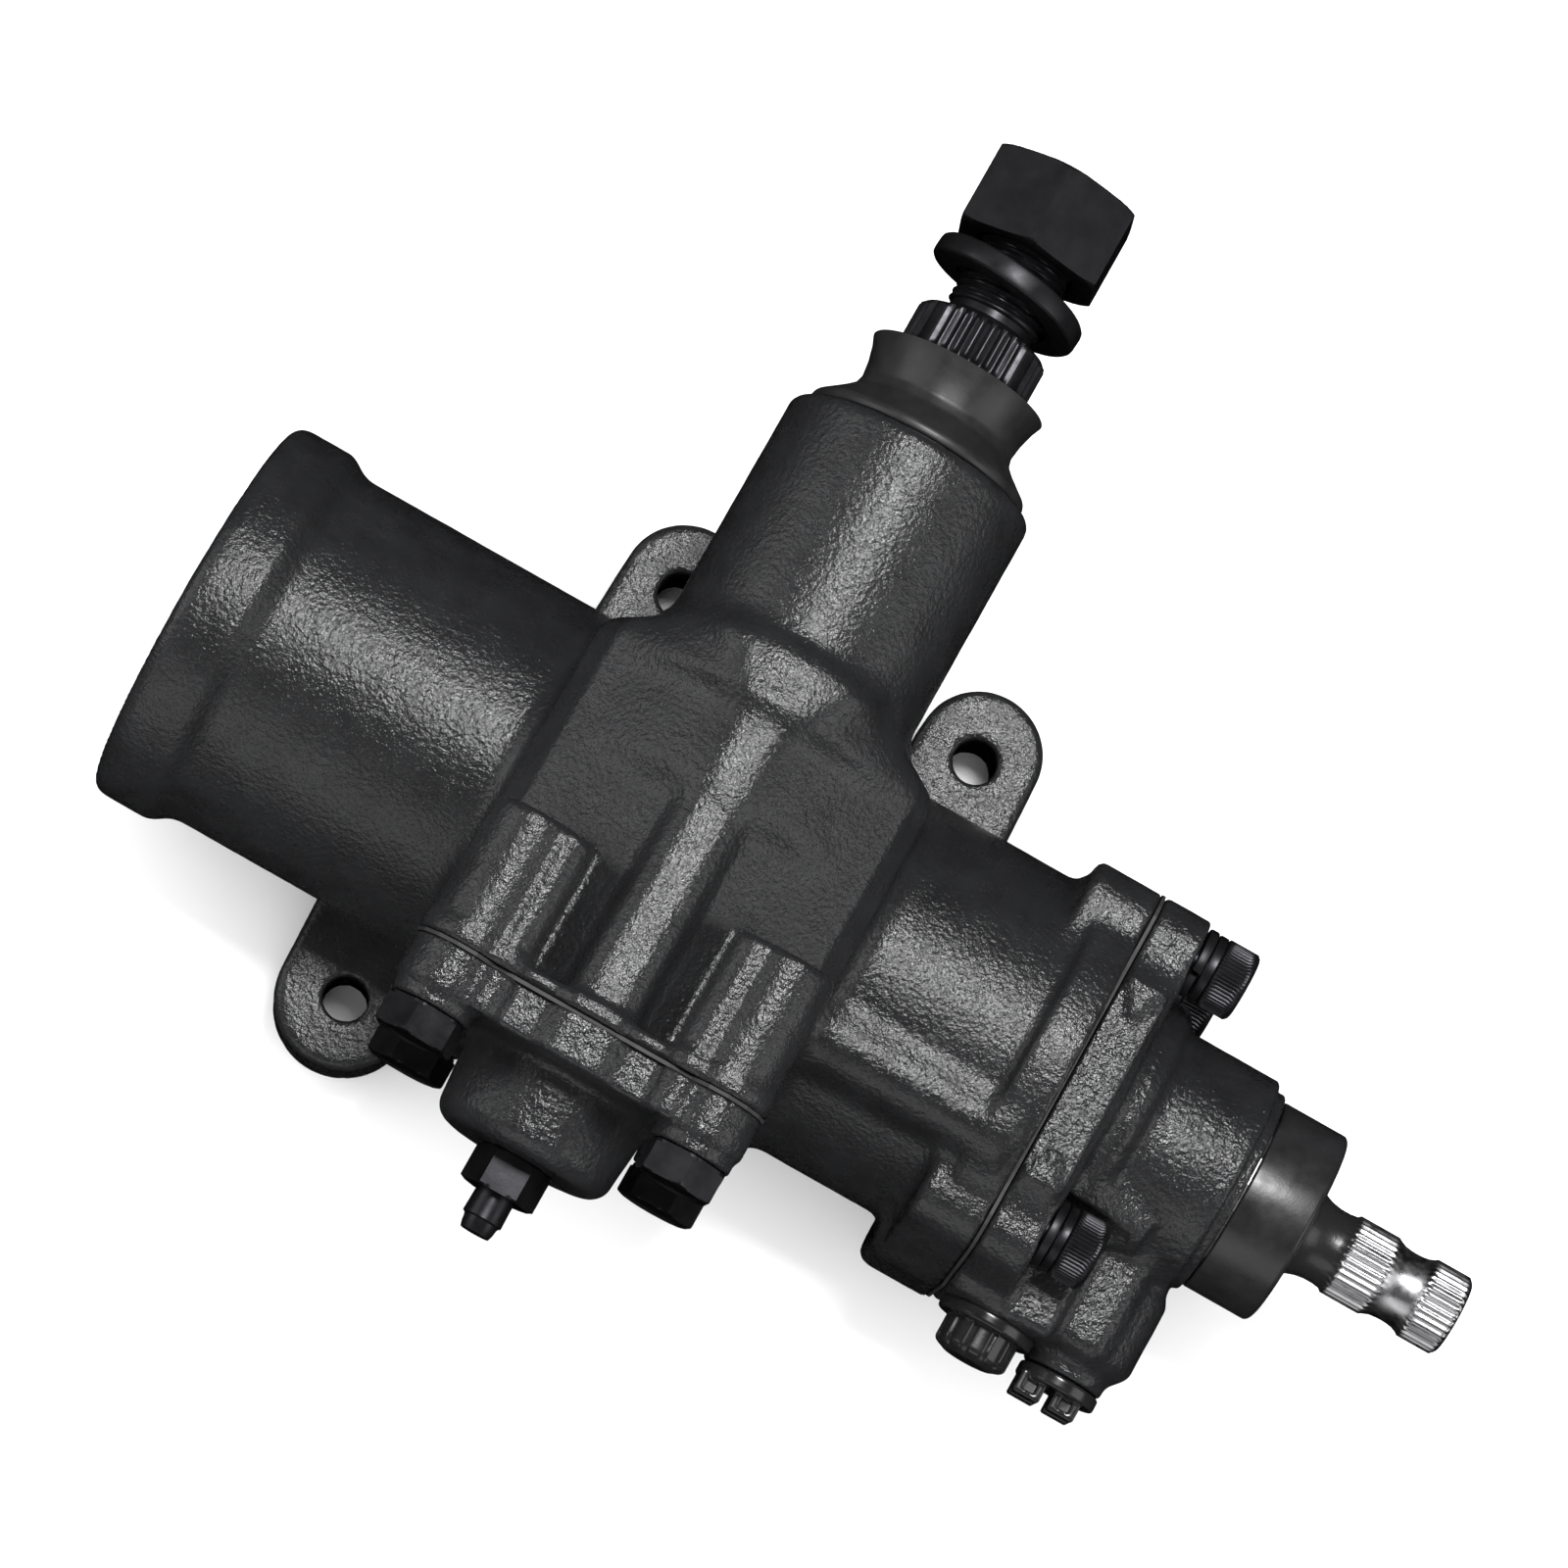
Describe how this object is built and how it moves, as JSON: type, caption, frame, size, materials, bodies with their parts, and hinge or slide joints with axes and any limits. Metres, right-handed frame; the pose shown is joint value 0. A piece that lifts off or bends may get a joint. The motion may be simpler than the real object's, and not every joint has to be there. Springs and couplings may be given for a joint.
{
  "type": "power steering gearbox",
  "caption": "Recirculating-ball power steering gearbox with serrated input shaft, rotary valve housing, rack-piston barrel, side cover and threaded pitman shaft.",
  "frame": {"origin": "middle of the plan outline, on the plane of the three mounting pads", "axes": "+X along the worm axis towards the input shaft, +Y along the sector shaft towards the pitman nut, +Z away from the mounting pads"},
  "size_m": [0.3266, 0.2682, 0.1375],
  "materials": {
    "cast_black": "semi-gloss black paint over sand-cast iron",
    "dust_cap": "smooth satin black",
    "black_steel": "black oxide, slightly oily",
    "bright_steel": "machined bright, serrated",
    "ground_steel": "ground",
    "bronze": "bearing bronze",
    "boot_rubber": "satin",
    "seal_rubber": "matt",
    "cap_plastic": "glossy moulded"
  },
  "bodies": {
    "housing": {"gear_housing": "cast_black", "valve_housing": "cast_black", "side_cover": "cast_black", "barrel_end_plug": "cast_black", "input_dust_cap": "dust_cap", "side_cover_bolt_1": "black_steel", "side_cover_bolt_2": "black_steel", "side_cover_bolt_3": "black_steel", "side_cover_bolt_4": "black_steel", "lash_adjuster_screw": "black_steel", "adjuster_lock_nut": "black_steel", "valve_bolt_1": "black_steel", "valve_bolt_2": "black_steel", "valve_bolt_3": "black_steel", "valve_bolt_4": "black_steel", "valve_lock_washer_1": "black_steel", "valve_lock_washer_2": "black_steel", "valve_lock_washer_3": "black_steel", "valve_lock_washer_4": "black_steel", "end_plug_retaining_ring": "black_steel", "sector_seal_retaining_ring": "black_steel", "inner_thrust_bearing": "ground_steel", "outer_thrust_bearing": "ground_steel", "sector_needle_bearing": "ground_steel", "input_needle_bearing": "ground_steel", "adjuster_plug": "ground_steel", "side_cover_bushing": "bronze", "sector_dust_boot": "boot_rubber", "end_plug_o_ring": "seal_rubber", "side_cover_gasket": "seal_rubber", "sector_oil_seal": "seal_rubber", "valve_housing_seal": "seal_rubber", "input_shaft_seal": "seal_rubber"},
    "worm": {"worm_shaft": "ground_steel", "torsion_bar": "ground_steel", "rotary_valve_sleeve": "ground_steel"},
    "input_shaft": {"input_stub_shaft": "bright_steel"},
    "rack": {"rack_piston": "ground_steel", "piston_ring": "seal_rubber", "piston_end_plug": "ground_steel", "ball_return_guide": "ground_steel", "return_guide_clamp": "ground_steel", "guide_clamp_screw": "black_steel", "recirculating_ball_01": "ground_steel", "recirculating_ball_02": "ground_steel", "recirculating_ball_03": "ground_steel", "recirculating_ball_04": "ground_steel", "recirculating_ball_05": "ground_steel", "recirculating_ball_06": "ground_steel", "recirculating_ball_07": "ground_steel", "recirculating_ball_08": "ground_steel", "recirculating_ball_09": "ground_steel", "recirculating_ball_10": "ground_steel", "recirculating_ball_11": "ground_steel", "recirculating_ball_12": "ground_steel"},
    "sector": {"sector_shaft": "black_steel", "pitman_lock_washer": "black_steel", "pitman_nut": "black_steel"},
    "pressure_cap": {"pressure_port_cap": "cap_plastic"},
    "return_cap": {"return_port_cap": "cap_plastic"}
  },
  "joints": [
    {"name": "worm_turn", "type": "hinge", "parent": "housing", "child": "worm", "pos_m": [0.0617, -0.03715, 0.048], "axis": [1, 0, 0], "range_deg": [-514.5, 514.5]},
    {"name": "torsion_twist", "type": "hinge", "parent": "worm", "child": "input_shaft", "pos_m": [0.1317, -0.03715, 0.048], "axis": [1, 0, 0], "range_deg": [-5, 5], "stiffness_Nm_per_rad": 60},
    {"name": "rack_slide", "type": "slide", "parent": "housing", "child": "rack", "axis": [1, 0, 0], "range_m": [-0.01816, 0.01816]},
    {"name": "sector_turn", "type": "hinge", "parent": "housing", "child": "sector", "pos_m": [-0.0383, 0.01285, 0.098], "axis": [0, 1, 0], "range_deg": [-40, 40]},
    {"name": "pressure_cap_pull", "type": "slide", "parent": "housing", "child": "pressure_cap", "axis": [0, -1, 0], "range_m": [0, 0.03]},
    {"name": "return_cap_pull", "type": "slide", "parent": "housing", "child": "return_cap", "axis": [0, -1, 0], "range_m": [0, 0.03]}
  ],
  "couplings": [
    {"joint": "rack_slide", "follows": "worm_turn", "m_per_rad": -0.0020213},
    {"joint": "sector_turn", "follows": "worm_turn", "ratio": 0.077741}
  ]
}
